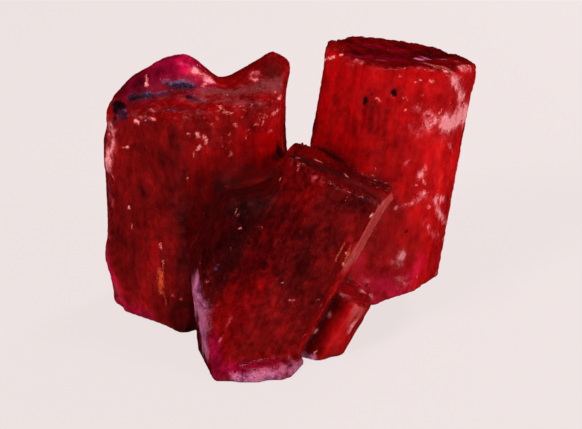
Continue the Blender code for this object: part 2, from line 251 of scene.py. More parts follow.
def makeFloor(s):
    mesh = bpy.data.meshes.new("paleFloor")
    half, low = s["half"] * mm, -s["drop"] * mm
    corners = [(-half, -half, low), (half, -half, low), (half, half, low), (-half, half, low)]
    mesh.from_pydata(corners, [], [(0, 1, 2, 3)])
    paint = bpy.data.materials.new("paleFloor")
    paint.use_nodes = True
    setPlain(
        paint.node_tree.nodes["Principled BSDF"],
        {
            "Base Color": (*(s["paint"] * part for part in s["colour"]), 1),
            "Roughness": s["roughness"],
            "Specular IOR Level": 0.0,
            "Emission Color": (*s["colour"], 1),
            "Emission Strength": s["glow"],
        },
    )
    mesh.materials.append(paint)
    floor = linkObject("paleFloor", mesh)
    floor.visible_glossy = False


makeFloor(floorLook)

# foot and length in mm, corners in mm from the foot, seen along the crystal's own direction
# sides, end and tone: from -1, darker, to 1, brighter, for each side in turn, the ends and the whole crystal;
# the sides and ends carry painted light and shade, each face lighter or darker as the light falls on it
# blush: a dusty pink tinge, side by side, partly a painted sheen on the faces that catch the light; speckle
# and streaked: how strong the grain and the streaks are
# grit: rough growth on the end; relief: how deep the streaks and lumps are
# satin: a painted sheen, one side made paler as if it caught the light: which, where up the crystal it starts
# and is full in mm, strength
crystals = {
    "tall": {
        "foot": (-17.314, -5.791),
        "lean": (0, 0, 1),
        "corners": [(0, 0), (16.5, 6.0), (17.4, 14.5), (7.0, 21.5), (-12.5, 14.6), (-12.0, 8.0)],
        "length": 37.2,
        "sides": [0.05, 0.42, 0.0, -0.05, 0.1, -0.03],
        "end": 0.08,
        "tone": 0.0,
        "speckle": 0.42,
        "blush": [0, 0.3, 0, 0, 0.4, 0],
        "streaked": 0.14,
        "grit": 0.0,
        "relief": 1.0,
    },
    "leaning": {
        "foot": (0.186, -6.591),
        "lean": (0.157, 0.216, 0.964),
        "corners": [(6, 0), (18.6, 1.5), (23.6, 10.3), (17.5, 19.5), (2.0, 18.3), (-1.7, 6.3)],
        "length": 45.4,
        "sides": [0.22, 0.34, 0.1, 0.1, 0.1, 0.16],
        "end": -0.26,
        "tone": 0.12,
        "speckle": 0.45,
        "blush": [0, 0.05, 0, 0, 0, 0],
        "streaked": 0.22,
        "grit": 0.06,
        "relief": 1.0,
    },
    "front": {
        "foot": (-11.314, -21.791),
        "lean": (0.47, 0.208, 0.858),
        "corners": [(0, 0), (9.6, 4.6), (12.1, 16.0), (5.0, 23.0), (-6.6, 17.2), (-6.1, 4.4)],
        "length": 35.6,
        "sides": [0.02, 0.45, 0.0, -0.1, -0.1, -0.04],
        "end": -0.10,
        "tone": -0.07,
        "speckle": 0.7,
        "blush": [0, 0.25, 0.2, 0, 0, 0],
        "satin": (1, 18.5, 27.0, 0.9),
        "streaked": 0.26,
        "grit": 0.2,
        "relief": 0.6,
    },
    "shoulder": {
        "foot": (-11.314, -21.791),
        "lean": (0.47, 0.208, 0.858),
        "corners": [(-8.6, 3.0), (-3.0, 6.0), (-3.0, 16.0), (-8.0, 19.0), (-12.2, 15.0), (-11.7, 5.8)],
        "length": 24.4,
        "sides": [-0.1, -0.1, 0.0, 0.0, -0.1, -0.1],
        "end": -0.15,
        "tone": -0.15,
        "speckle": 0.7,
        "blush": [0, 0, 0, 0, 0, 0],
        "streaked": 0.2,
        "grit": 0.1,
        "relief": 0.9,
        "yields": 0.3,  # mm by which the front crystal wins where the two meet
    },
    "small": {
        "foot": (3.586, -15.591),
        "lean": (0.52, 0.2, 0.83),
        "corners": [(0.9, 0), (3.6, 2.5), (4.2, 7.4), (0.5, 9.6), (-4.0, 7.6), (-4.2, 2.8)],
        "length": 12.3,
        "sides": [0.36, 0.48, 0.1, 0.0, -0.1, -0.02],
        "end": 0.05,
        "tone": 0.03,
        "speckle": 0.35,
        "blush": [0, 0.2, 0.2, 0, 0, 0],
        "satin": (0, 3.0, 11.0, 0.85),
        "streaked": 0.3,
        "grit": 0.3,
        "relief": 0.15,
    },
}


def crystalAxes(crystal):
    along = np.array(crystal["lean"], float)
    along /= np.linalg.norm(along)
    across = np.array((1.0, 0, 0)) - along[0] * along
    across /= np.linalg.norm(across)
    return along, across, np.cross(along, across)


# points in the crystal's own directions, and how far they lie outside each side and the whole prism
def insideCrystal(crystal, points):
    along, across, deep = crystalAxes(crystal)
    away = points - np.array((*crystal["foot"], 0.0))
    own = np.stack((away @ across, away @ deep, away @ along), 1)
    corners = np.array(crystal["corners"])
    ahead = np.roll(corners, -1, 0) - corners
    out = np.stack((ahead[:, 1], -ahead[:, 0]), 1) / np.linalg.norm(ahead, axis=1)[:, None]
    reach = ((own[:, None, :2] - corners[None]) * out[None]).sum(2)
    return own, reach, np.maximum(reach.max(1), own[:, 2] - crystal["length"])


# marks that the front camera sees, each a short stroke between two places of its frame:
# across, down, to across, to down, all in pixels, radius in mm, strength
frontMarks = {
    "rounded": [  # where the shape itself is worn round
        (262, 56, 282, 62, 2.2, 0.25), (298, 150, 306, 143, 1.6, 0.2), (384, 190, 392, 196, 1.2, 0.4),
        (205, 92, 280, 84, 1.6, 0.3),
    ],
    "frost": [  # pale frosted patches, a few of them painted highlights
        (197, 70, 211, 80, 0.9, 0.9), (252, 73, 258, 74, 0.6, 0.6), (250, 79, 255, 80, 0.5, 0.6),
        (216, 130, 230, 140, 1.0, 0.2), (110, 130, 107, 168, 1.2, 0.9), (109, 170, 110, 178, 0.7, 0.6),
        (112, 188, 111, 240, 0.6, 0.3), (136, 119, 150, 117, 0.6, 0.4),
        (262, 112, 280, 108, 0.7, 0.35), (445, 60, 457, 63, 0.5, 0.5), (461, 68, 470, 70, 0.7, 0.6),
        (455, 80, 461, 98, 1.35, 0.95), (447, 125, 465, 115, 2.1, 1.0), (449, 128, 454, 126, 1.2, 1.0),
        (447, 124, 454, 124, 1.1, 1.0), (418, 108, 426, 112, 1.0, 0.6), (412, 127, 420, 130, 1.0, 0.6),
        (422, 124, 438, 122, 1.5, 0.55), (464, 104, 466, 112, 0.7, 0.7), (449, 144, 452, 150, 0.6, 0.6),
        (404, 163, 410, 160, 0.4, 0.5), (423, 170, 420, 175, 0.8, 0.6), (425, 194, 418, 200, 0.8, 0.7),
        (394, 208, 398, 207, 0.4, 0.6), (402, 206, 405, 205, 0.4, 0.6), (409, 204, 412, 203, 0.45, 0.6),
        (434, 199, 449, 200, 0.8, 0.65), (436, 200, 438, 214, 0.8, 0.75),
        (438, 214, 446, 222, 0.9, 0.8), (400, 257, 398, 262, 1.1, 0.6), (399, 281, 403, 284, 1.1, 0.5),
        (430, 231, 440, 236, 0.8, 0.4), (364, 279, 368, 283, 0.5, 0.45), (425, 224, 429, 228, 0.6, 0.4),
        (342, 295, 350, 296, 0.5, 0.6), (360, 291, 371, 296, 0.6, 0.8), (356, 320, 350, 332, 0.55, 1.0),
        (356, 60, 360, 62, 0.6, 0.5), (312, 180, 316, 176, 0.4, 0.5), (232, 317, 219, 341, 0.3, 0.4),
        (330, 313, 300, 366, 0.34, 0.7), (383, 186, 393, 190, 0.4, 0.6), (345, 64, 352, 66, 0.5, 0.4),
    ],
    "chip": [  # small bright chips, some of them painted glints
        (121, 148, 123, 148, 0.26, 1.0), (126, 147, 128, 147, 0.30, 1.2),
        (129, 207, 129, 208, 0.28, 1.3), (135, 121, 138, 122, 0.32, 1.3), (146, 76, 147, 80, 0.30, 0.8),
        (146, 83, 147, 85, 0.32, 1.3), (151, 109, 154, 112, 0.28, 0.7), (151, 118, 154, 119, 0.32, 0.9),
        (197, 133, 198, 136, 0.34, 1.2), (204, 137, 207, 141, 0.34, 0.9),
        (206, 143, 206, 145, 0.26, 0.8), (200, 146, 198, 149, 0.30, 1.25),
        (188, 134, 189, 135, 0.26, 0.8), (219, 106, 221, 108, 0.32, 0.9),
        (225, 112, 232, 114, 0.34, 0.8), (248, 108, 252, 105, 0.22, 0.8),
        (244, 110, 246, 111, 0.22, 0.7), (235, 124, 236, 126, 0.30, 0.8),
        (230, 134, 230, 135, 0.24, 0.8), (255, 125, 258, 124, 0.24, 0.7),
        (247, 130, 249, 130, 0.22, 0.6), (270, 131, 273, 132, 0.26, 0.9),
        (231, 153, 231, 155, 0.32, 0.9), (280, 98, 283, 95, 0.34, 1.4), (273, 115, 279, 110, 0.34, 0.9),
        (262, 118, 266, 117, 0.24, 0.6), (187, 178, 188, 179, 0.26, 0.8),
        (210, 124, 214, 126, 0.24, 0.5), (222, 145, 223, 146, 0.20, 0.6),
        (240, 118, 243, 117, 0.24, 0.6), (216, 118, 218, 120, 0.24, 0.6),
        (174, 112, 176, 113, 0.24, 0.5), (166, 104, 168, 105, 0.22, 0.5), (206, 84, 203, 86, 0.34, 0.8),
        (325, 60, 334, 57, 0.26, 1.4), (341, 55, 342, 55, 0.28, 1.4), (423, 63, 433, 66, 0.28, 0.8),
        (434, 67, 447, 72, 0.30, 0.9), (468, 66, 470, 67, 0.30, 0.9), (399, 76, 400, 77, 0.24, 0.7),
        (415, 82, 416, 82, 0.22, 0.8), (420, 80, 421, 80, 0.22, 0.8), (430, 81, 433, 82, 0.30, 0.9),
        (421, 95, 423, 95, 0.22, 0.7), (405, 110, 406, 110, 0.22, 0.9), (377, 98, 380, 101, 0.26, 0.8),
        (464, 109, 465, 111, 0.30, 1.3), (448, 143, 450, 148, 0.24, 0.7),
        (423, 181, 425, 184, 0.30, 0.9), (413, 186, 416, 185, 0.26, 0.7),
        (316, 160, 321, 162, 0.34, 1.25), (296, 158, 299, 158, 0.26, 0.8),
        (345, 174, 347, 177, 0.28, 0.8), (372, 175, 374, 176, 0.24, 0.7),
        (383, 186, 388, 188, 0.26, 1.0), (371, 216, 372, 215, 0.32, 1.5),
        (240, 228, 241, 228, 0.22, 0.9), (238, 215, 239, 215, 0.24, 0.6),
        (195, 294, 195, 297, 0.40, 1.6), (194, 302, 194, 304, 0.30, 1.3),
        (245, 239, 247, 235, 0.26, 0.6), (250, 230, 253, 229, 0.24, 0.5), (257, 227, 262, 228, 0.30, 0.55),
        (206, 281, 207, 283, 0.30, 1.0), (314, 333, 318, 329, 0.22, 1.2),
        (289, 300, 293, 301, 0.30, 0.6), (316, 300, 319, 300, 0.30, 0.5),
        (300, 163, 298, 170, 0.24, 0.6), (371, 227, 369, 232, 0.24, 0.6),
        (428, 206, 430, 208, 0.28, 0.8), (405, 205, 408, 204, 0.24, 0.8),
        (343, 263, 344, 265, 0.24, 1.1), (346, 252, 347, 254, 0.24, 0.9),
        (161, 244, 161, 248, 0.30, 0.75), (163, 261, 163, 267, 0.28, 0.65),
        (172, 295, 173, 296, 0.26, 0.6), (181, 299, 182, 300, 0.26, 0.7),
    ],
    "lilac": [  # whitish pink crusts
        (236, 379, 264, 377, 1.1, 1.0), (264, 377, 298, 370, 1.3, 1.0), (300, 366, 305, 357, 0.7, 0.9),
        (305, 356, 313, 357, 0.7, 0.8), (417, 59, 421, 60, 0.6, 1.0), (422, 57, 446, 61, 0.38, 0.9),
        (357, 57, 398, 63, 0.7, 0.3), (195, 289, 194, 302, 2.4, 1.0), (199, 284, 202, 306, 1.9, 1.0),
        (199, 302, 203, 326, 2.3, 1.0), (201, 326, 206, 350, 1.6, 1.0), (202, 330, 206, 352, 0.8, 0.7),
        (208, 76, 210, 82, 0.6, 0.8), (109, 150, 109, 200, 0.6, 0.5), (180, 62, 200, 68, 0.5, 0.4),
    ],
    "mist": [  # bluish film
        (216, 270, 219, 265, 0.34, 0.9),
        (163, 82, 168, 80, 0.34, 0.7), (170, 83, 186, 80, 0.34, 0.75), (186, 81, 193, 84, 0.36, 0.7),
        (140, 95, 150, 92, 0.26, 0.5), (152, 94, 172, 90, 0.26, 0.55), (138, 99, 146, 98, 0.26, 0.45),
        (196, 98, 206, 101, 0.32, 0.45), (122, 107, 126, 111, 0.35, 0.6),
        (168, 110, 176, 112, 0.3, 0.55), (188, 92, 194, 96, 0.3, 0.45), (205, 102, 212, 105, 0.34, 0.4),
        (146, 108, 153, 110, 0.3, 0.5),
    ],
    "slate": [  # dark bluish stains
        (168, 85, 192, 86, 0.62, 0.95), (176, 83, 188, 86, 0.5, 0.9), (132, 98, 150, 95, 0.7, 0.85),
        (118, 105, 122, 115, 1.1, 1.0), (116, 117, 113, 124, 0.7, 0.7), (168, 108, 180, 111, 0.5, 0.6),
        (150, 97, 172, 92, 0.4, 0.6), (188, 96, 196, 100, 0.6, 0.75), (200, 102, 208, 104, 0.6, 0.5),
        (145, 118, 150, 122, 0.5, 0.5),
    ],
    "rose": [  # a dusty pink tinge
        (116, 288, 120, 302, 1.1, 0.6), (205, 92, 280, 84, 1.9, 0.9), (195, 100, 262, 104, 1.6, 0.7),
        (150, 110, 200, 112, 1.4, 0.5), (135, 112, 142, 122, 1.0, 0.45), (430, 100, 415, 130, 3.0, 0.3),
        (160, 100, 185, 98, 1.2, 0.5),
    ],
    "band": [  # painted sheen: satin pink edges
        (423, 63, 434, 66, 0.6, 0.9), (434, 66, 452, 73, 0.7, 1.0), (452, 73, 457, 79, 0.7, 0.9),
    ],
    "magenta": [  # a cooler, pinker red
        (135, 88, 190, 66, 3.2, 0.9), (160, 66, 185, 60, 3.0, 1.0), (190, 75, 205, 85, 2.0, 0.9),
        (111, 252, 114, 275, 1.6, 0.7), (113, 272, 122, 310, 1.9, 0.5), (118, 300, 150, 318, 2.0, 0.6),
        (212, 345, 216, 374, 2.2, 0.8), (225, 372, 290, 370, 2.0, 0.8), (372, 284, 400, 293, 3.6, 0.55),
        (370, 250, 440, 262, 3.5, 0.25), (380, 300, 440, 270, 3.0, 0.5), (365, 45, 398, 50, 1.6, 0.5),
        (355, 56, 400, 59, 1.5, 0.6), (358, 262, 364, 284, 1.8, 0.5),
    ],
    "deep": [  # darker places: painted shade between the crystals and on faces turned from the light, partly the stone's own darker red
        (200, 250, 190, 330, 5.0, 1.0), (215, 200, 250, 190, 4.0, 0.8), (200, 200, 195, 240, 3.0, 0.6),
        (255, 200, 235, 250, 4.5, 1.0), (300, 160, 360, 180, 2.2, 0.9), (305, 240, 285, 280, 3.0, 0.8),
        (300, 175, 290, 250, 2.4, 0.5), (330, 205, 375, 200, 3.0, 0.6), (310, 240, 330, 235, 2.5, 0.7),
        (222, 215, 262, 190, 3.0, 0.9), (330, 150, 385, 185, 1.6, 0.7), (345, 42, 430, 55, 3.0, 0.7),
        (334, 47, 352, 52, 1.4, 0.7), (338, 306, 319, 346, 1.25, 0.55), (330, 120, 345, 135, 3.0, 0.45),
        (375, 120, 385, 150, 2.5, 0.35), (120, 200, 130, 245, 3.0, 0.3), (265, 62, 280, 75, 2.5, 0.5),
        (250, 120, 240, 170, 3.0, 0.2), (170, 135, 175, 165, 2.0, 0.3), (255, 145, 265, 150, 1.6, 0.35),
        (184, 170, 184, 266, 1.1, 0.75), (300, 280, 320, 300, 2.6, 0.5), (372, 104, 370, 132, 0.7, 0.9),
        (379, 108, 378, 140, 0.6, 0.8), (386, 112, 384, 140, 0.6, 0.7), (366, 105, 364, 126, 0.6, 0.7),
        (336, 96, 336, 104, 0.6, 0.7), (326, 80, 325, 88, 0.8, 0.5), (352, 128, 357, 150, 1.2, 0.5),
        (400, 140, 396, 175, 1.6, 0.5), (405, 200, 400, 215, 1.4, 0.4), (160, 150, 162, 165, 0.9, 0.6),
        (178, 146, 179, 156, 0.7, 0.8), (244, 155, 252, 158, 0.9, 0.6), (253, 128, 262, 131, 0.8, 0.6),
        (176, 190, 190, 240, 3.0, 0.3), (143, 190, 145, 196, 0.7, 0.5), (300, 238, 312, 232, 1.2, 0.9),
        (270, 230, 262, 262, 1.4, 0.7), (276, 205, 290, 210, 1.2, 0.6), (225, 285, 245, 262, 1.8, 0.5),
        (185, 262, 190, 310, 1.8, 0.6), (140, 80, 128, 92, 2.0, 1.0), (160, 72, 172, 68, 1.2, 0.7),
        (155, 84, 160, 78, 0.8, 0.6),
    ],
    "glow": [  # brighter places: painted light, partly the stone's own brighter red
        (345, 75, 420, 90, 4.0, 0.5), (380, 195, 420, 235, 3.5, 0.7), (430, 140, 440, 190, 4.5, 0.9),
        (360, 85, 350, 130, 3.0, 0.5), (440, 150, 452, 170, 3.0, 0.7), (390, 210, 400, 240, 4.0, 0.5),
        (400, 110, 410, 160, 3.0, 0.5), (225, 120, 280, 115, 2.6, 0.9), (150, 125, 190, 130, 2.6, 0.3),
        (150, 175, 168, 235, 2.4, 0.25), (270, 130, 275, 170, 2.0, 0.7), (258, 330, 280, 350, 3.0, 0.5),
        (230, 330, 250, 360, 3.0, 0.3), (225, 300, 250, 300, 2.5, 0.4), (268, 300, 285, 330, 3.0, 0.5),
        (112, 262, 121, 302, 1.8, 1.0), (140, 252, 172, 246, 2.2, 0.7), (320, 200, 345, 215, 2.6, 0.35),
        (225, 118, 275, 112, 2.6, 0.6), (245, 133, 274, 143, 3.5, 1.0), (212, 313, 270, 342, 3.0, 0.3),
        (130, 300, 168, 285, 2.6, 0.8), (150, 262, 165, 268, 2.2, 0.8), (208, 150, 216, 153, 0.8, 0.9),
        (250, 176, 258, 182, 1.0, 0.7), (200, 140, 205, 160, 1.8, 0.6), (178, 120, 160, 135, 2.0, 0.4),
        (275, 285, 282, 295, 1.8, 0.8), (258, 282, 262, 288, 1.2, 0.7), (300, 200, 308, 212, 1.2, 0.5),
        (332, 215, 322, 225, 1.6, 0.5), (250, 242, 240, 255, 1.4, 0.4), (290, 320, 280, 335, 2.0, 0.5),
        (300, 345, 270, 360, 2.0, 0.5), (318, 262, 310, 275, 1.0, 0.4), (180, 64, 194, 74, 1.6, 1.0),
        (372, 45, 405, 52, 1.5, 0.9), (420, 56, 440, 62, 1.2, 0.8), (345, 47, 360, 50, 1.2, 0.7),
        (330, 48, 336, 54, 1.2, 1.0), (350, 310, 330, 344, 1.3, 0.8), (222, 178, 234, 174, 1.0, 0.5),
        (384, 250, 420, 272, 3.0, 0.6), (356, 262, 364, 284, 1.8, 1.3), (368, 284, 400, 292, 3.0, 0.7),
        (128, 225, 160, 250, 2.4, 0.4),
    ],
    "ember": [  # painted orange glints
        (161, 272, 161, 290, 0.75, 0.95), (163, 288, 167, 304, 0.34, 0.7),
        (345, 243, 336, 260, 0.26, 1.0), (349, 253, 343, 264, 0.42, 1.3),
        (351, 246, 346, 256, 0.24, 0.8),
    ],
    "soot": [  # black specks
        (366, 97, 365, 103, 0.42, 1.0), (371, 92, 371, 95, 0.25, 0.8), (394, 91, 395, 93, 0.60, 1.5),
        (116, 104, 122, 106, 0.7, 1.0), (115, 110, 114, 118, 0.5, 0.9), (187, 96, 188, 98, 0.35, 0.7),
        (130, 100, 142, 96, 0.5, 0.6), (125, 116, 127, 120, 0.35, 0.6), (147, 116, 148, 122, 0.3, 0.5),
        (320, 178, 335, 184, 0.4, 0.5),
    ],
    "dull": [  # where the gloss is missing
        (138, 97, 192, 85, 1.6, 0.9), (271, 69, 283, 92, 1.6, 0.6), (225, 186, 268, 176, 2.0, 1.0),
        (232, 203, 268, 200, 2.0, 1.0), (300, 160, 340, 176, 1.4, 1.0), (340, 176, 384, 202, 1.6, 1.0),
    ],
    "grit": [  # rough growth, where the grains sit
        (205, 92, 280, 84, 2.2, 0.6), (195, 100, 262, 104, 1.8, 0.7), (150, 110, 200, 115, 1.6, 0.7),
        (138, 97, 192, 85, 0.9, 0.5), (318, 159, 392, 194, 0.8, 0.25), (440, 68, 457, 77, 1.4, 0.5),
        (345, 293, 372, 287, 0.8, 0.3), (227, 376, 296, 368, 0.9, 0.2),
    ],
    "flecks": [  # strewn with tiny bright spots, partly painted sparkle
        (212, 146, 264, 114, 3.0, 0.7), (148, 111, 199, 115, 2.2, 0.6), (226, 97, 277, 95, 2.0, 0.6),
        (405, 89, 436, 93, 2.5, 0.4), (427, 192, 443, 225, 2.5, 0.3), (322, 160, 385, 187, 1.5, 0.5),
    ],
}

sideMarks = {  # marks given straight in mm: start, end, radius, strength
    "rounded": [  # joints between crystals that have healed over
        ((-13.5, -7.5, 22.0), (-7.5, -7.5, 24.5), 2.2, 0.9),
        ((-3.8, -9.0, 26.5), (-9.8, -16.0, 12.0), 3.0, 1.0),
        ((-8.5, -19.0, 3.5), (1.0, -17.0, 3.0), 1.6, 0.8),
    ],
    # painted shade in the healed joint between two crystals
    "deep": [((-14.0, -11.5, 20.0), (-8.0, -9.0, 24.0), 3.0, 0.7)],
    "lilac": [((-13.9, -12.4, 9.3), (-13.2, -14.8, 2.5), 1.7, 0.6)],
    "dull": [
        ((-14.5, -7.5, 21.0), (-8.0, -8.0, 24.0), 3.0, 0.4),
        ((-8.5, -11.5, 18.0), (-5.5, -8.5, 25.0), 2.5, 0.3),
    ],
    "flecks": [((-8.0, -12.0, 18.0), (2.0, -15.0, 26.0), 6.0, 0.2)],
}

softMarks = {"glow", "deep", "magenta", "rose", "dull", "lilac", "frost"}  # these fade from their middle
markEdge = {"full": 0.3125, "gone": 1.5625}  # the others end between these, in parts of their radius


# the stone's solid in mm, for rays and nearest places
def solidSurface(node):
    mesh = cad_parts[node].data
    points = [v.co / mm for v in mesh.vertices]
    return BVHTree.FromPolygons(points, [tuple(face.vertices) for face in mesh.polygons])


# where the ray from the front camera through a place of its frame meets the stone
def frontPlace(s, surface, across, down):
    wide, high = s["frame"]
    reach = wide * s["lens"] / s["sensor"]
    tilt = math.radians(s["elevation"])
    ahead = Vector((0, math.cos(tilt), -math.sin(tilt)))
    up = Vector((0, math.sin(tilt), math.cos(tilt)))
    eye = Vector(s["aim"]) - s["distance"] * ahead
    ray = ahead + Vector((1, 0, 0)) * (across - wide / 2) / reach + up * (high / 2 - down) / reach
    place = surface.ray_cast(eye, ray.normalized())[0] or surface.find_nearest(eye + s["distance"] * ray)[0]
    return np.array(place)  # a ray just past the stone's outline takes the nearest place


def placedMarks(s, seen, given, surface):
    placed = {}
    for kind, rows in seen.items():
        placed[kind] = []
        for across, down, toAcross, toDown, radius, strength in rows:
            start = frontPlace(s, surface, across, down)
            finish = frontPlace(s, surface, toAcross, toDown)
            placed[kind].append((start, finish, radius, strength))
        placed[kind] += given.get(kind, [])
    return placed


stoneSurface = solidSurface("ruby_crystal_cluster")
marks = placedMarks(frontView, frontMarks, sideMarks, stoneSurface)
print("marks placed:", sum(map(len, marks.values())))


# how strongly a list of marks reaches each point
def markStrength(points, rows, soft):
    strength = np.zeros(len(points))
    for start, finish, radius, power in rows:
        start, along = np.array(start), np.array(finish) - np.array(start)
        share = np.clip((points - start) @ along / max(along @ along, 1e-9), 0, 1)
        gap = np.linalg.norm(points - start - share[:, None] * along, axis=1) / radius
        if soft:
            here = np.exp(-gap * gap)
        else:
            here = np.clip((markEdge["gone"] - gap) / (markEdge["gone"] - markEdge["full"]), 0, 1)
        strength = np.maximum(strength, power * here)
    return strength


cluster = {
    "merge": 0.002,  # mm
    "voxel": 0.352,  # mm
    "softenTimes": 60,  # rounds that relax the healed joints
    "evenTimes": 5,  # rounds that ease every edge
    "evenShare": 0.5,  # how far each of these goes
    "baseBand": (0.1, 0.9),  # mm above the floor over which the relief grows from nothing
    "endTurn": (0.35, 0.8),  # a face that looks less than this up its crystal is a side, more an end
    "sideBlend": 0.25,  # mm over which one side's tone turns into the next one's
    "spaceStep": (37.0, 23.0, 61.0),  # mm from one crystal's patterns to the next one's
    "blurTimes": 2,  # rounds of smoothing for the tones
    "fineTimes": 3,  # rounds of smoothing that show a worn edge
    "wearFull": 0.06,  # mm
    "broadTimes": 26,  # rounds of smoothing that show a crevice
    "creviceFull": 0.5,  # mm
    "creviceGrit": 0.25,  # how rough the growth is in a crevice
    "nudges": [  # places pushed in or out: across and down the front frame, radius mm, push mm
        (330, 48, 2.4, (-0.2, 0.0, 0.7)),
        (341, 41, 2.4, (0.0, 0.0, 0.5)),
        (287, 62, 2.2, (1.2, 0.0, 0.6)),
        (265, 57, 2.0, (0.0, 0.0, 0.4)),
        (286, 105, 4.0, (-0.6, 0.0, 0.0)),
        (286, 140, 4.0, (-1.0, 0.0, 0.0)),
        (107, 138, 3.0, (0.9, 0.0, 0.0)),
        (111, 110, 2.2, (-0.35, 0.0, 0.0)),
        (241, 70, 2.0, (0.0, 0.0, 0.3)),
        (108, 180, 1.6, (0.7, 0.0, 0.0)),
        (111, 256, 3.6, (-1.0, 0.0, 0.0)),
        (117, 302, 1.6, (0.7, 0.0, 0.2)),
        (111, 278, 2.0, (-0.5, 0.0, 0.0)),
        (183, 329, 2.6, (0.0, -0.9, 0.0)),
        (338, 44, 1.8, (0.0, 0.0, 0.8)),
        (329, 44, 1.5, (-0.3, 0.0, 0.5)),
        (456, 62, 1.4, (0.1, 0.0, 0.5)),
        (183, 58, 3.0, (0.0, 0.0, -0.4)),
        (199, 294, 2.2, (-1.0, 0.0, 0.1)),
        (340, 351, 1.3, (0.55, 0.0, -0.35)),
        (300, 141, 1.8, (0.0, 0.0, -0.6)),
        (292, 148, 2.4, (0.1, 0.0, -1.4)),
        (283, 146, 2.4, (-0.7, 0.0, 0.0)),
        (392, 190, 1.8, (0.6, 0.0, 0.3)),
        (471, 80, 2.0, (0.4, 0.0, 0.0)),
        (357, 329, 1.6, (-0.35, 0.0, 0.0)),
    ],
}


def copyNode(node, name, merge):
    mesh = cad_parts[node].data.copy()
    mesh.name = name
    shape = bmesh.new()
    shape.from_mesh(mesh)
    bmesh.ops.remove_doubles(shape, verts=shape.verts, dist=merge * mm)
    shape.to_mesh(mesh)
    shape.free()
    mesh.materials.clear()
    return linkObject(name, mesh)


def pointsOf(mesh):
    places = np.zeros(len(mesh.vertices) * 3)
    mesh.vertices.foreach_get("co", places)
    normals = np.zeros(len(mesh.vertices) * 3, np.float32)
    mesh.vertex_normals.foreach_get("vector", normals)
    return places.reshape(-1, 3) / mm, normals.reshape(-1, 3).astype(float)


def edgesOf(mesh):
    ends = np.zeros(len(mesh.edges) * 2, np.int32)
    mesh.edges.foreach_get("vertices", ends)
    return ends.reshape(-1, 2)


# each point's value averaged with its neighbours', several times over
def spread(values, edges, rounds):
    first, second = edges.T
    count = np.bincount(edges.ravel(), minlength=len(values)) + 1.0
    columns = values.reshape(len(values), -1).copy()
    for _ in range(rounds):
        for k in range(columns.shape[1]):
            own = columns[:, k]
            total = np.bincount(first, own[second], len(own)) + np.bincount(second, own[first], len(own))
            columns[:, k] = (total + own) / count
    return columns.reshape(values.shape)


def store(mesh, name, values):
    isVector = values.ndim == 2
    old = mesh.attributes.get(name)
    if old:
        mesh.attributes.remove(old)
    layer = mesh.attributes.new(name, "FLOAT_VECTOR" if isVector else "FLOAT", "POINT")
    layer.data.foreach_set("vector" if isVector else "value", values.astype(np.float32).ravel())


def step(values, low, high):
    share = np.clip((values - low) / (high - low), 0, 1)
    return share * share * (3 - 2 * share)


# the same kinds of mark strewn over the back: count, radius from and to, strength from and to
hiddenMarks = {
    "frost": (18, 0.5, 1.5, 0.3, 0.9),
    "chip": (70, 0.2, 0.34, 0.6, 1.0),
    "mist": (3, 0.3, 0.5, 0.4, 0.8),
    "band": (2, 0.3, 0.5, 0.5, 0.9),
    "lilac": (4, 0.6, 1.3, 0.4, 0.8),
    "rose": (6, 1.0, 2.2, 0.4, 0.8),
    "magenta": (3, 2.0, 3.4, 0.3, 0.7),
    "deep": (12, 1.5, 3.2, 0.2, 0.55),
    "glow": (12, 2.0, 4.5, 0.4, 1.0),
    "ember": (5, 0.5, 0.9, 0.4, 0.8),
    "soot": (5, 0.4, 0.6, 0.8, 1.0),
    "slate": (2, 0.7, 1.2, 0.4, 0.8),
    "flecks": (8, 1.8, 4.0, 0.3, 1.0),
    "dull": (4, 2.0, 4.0, 0.3, 0.8),
    "grit": (6, 0.8, 2.0, 0.2, 0.6),
}
hiddenField = {
    "seed": 7,
    "across": (-29, 29),  # mm
    "up": (1, 43),  # mm
    "pull": 1.2,  # mm of depth that a place gives up for each mm away from the picked spot
    "miss": 1.5,  # mm past which the picked spot has no stone
    "smallLength": 1.6,  # half length of a small mark, in radii
    "largeLength": (0.8, 0.5),  # half length of a large one, in radii and mm more
    "turn": 6.3,  # radians
}


# marks at random places of the back, the same ones on every call
def hiddenRows(name, points, s):
    count, fromRadius, toRadius, weak, strong = hiddenMarks[name]
    pick = np.random.default_rng(s["seed"] + sum(map(ord, name)))
    rows = []
    while len(rows) < count:
        x, z = pick.uniform(*s["across"]), pick.uniform(*s["up"])
        tilt, size, turn = pick.uniform(0, 1, 3)
        rearness = points[:, 1] - s["pull"] * (np.abs(points[:, 0] - x) + np.abs(points[:, 2] - z))
        here = points[rearness.argmax()]
        if max(abs(here[0] - x), abs(here[2] - z)) > s["miss"]:
            continue
        radius = fromRadius + (toRadius - fromRadius) * size
        share, more = s["largeLength"]
        length = min(radius * s["smallLength"], radius * share + more)
        along = length * np.array((math.cos(turn * s["turn"]), 0, math.sin(turn * s["turn"])))
        rows.append((here - along * tilt, here + along, radius, weak + (strong - weak) * turn))
    return rows


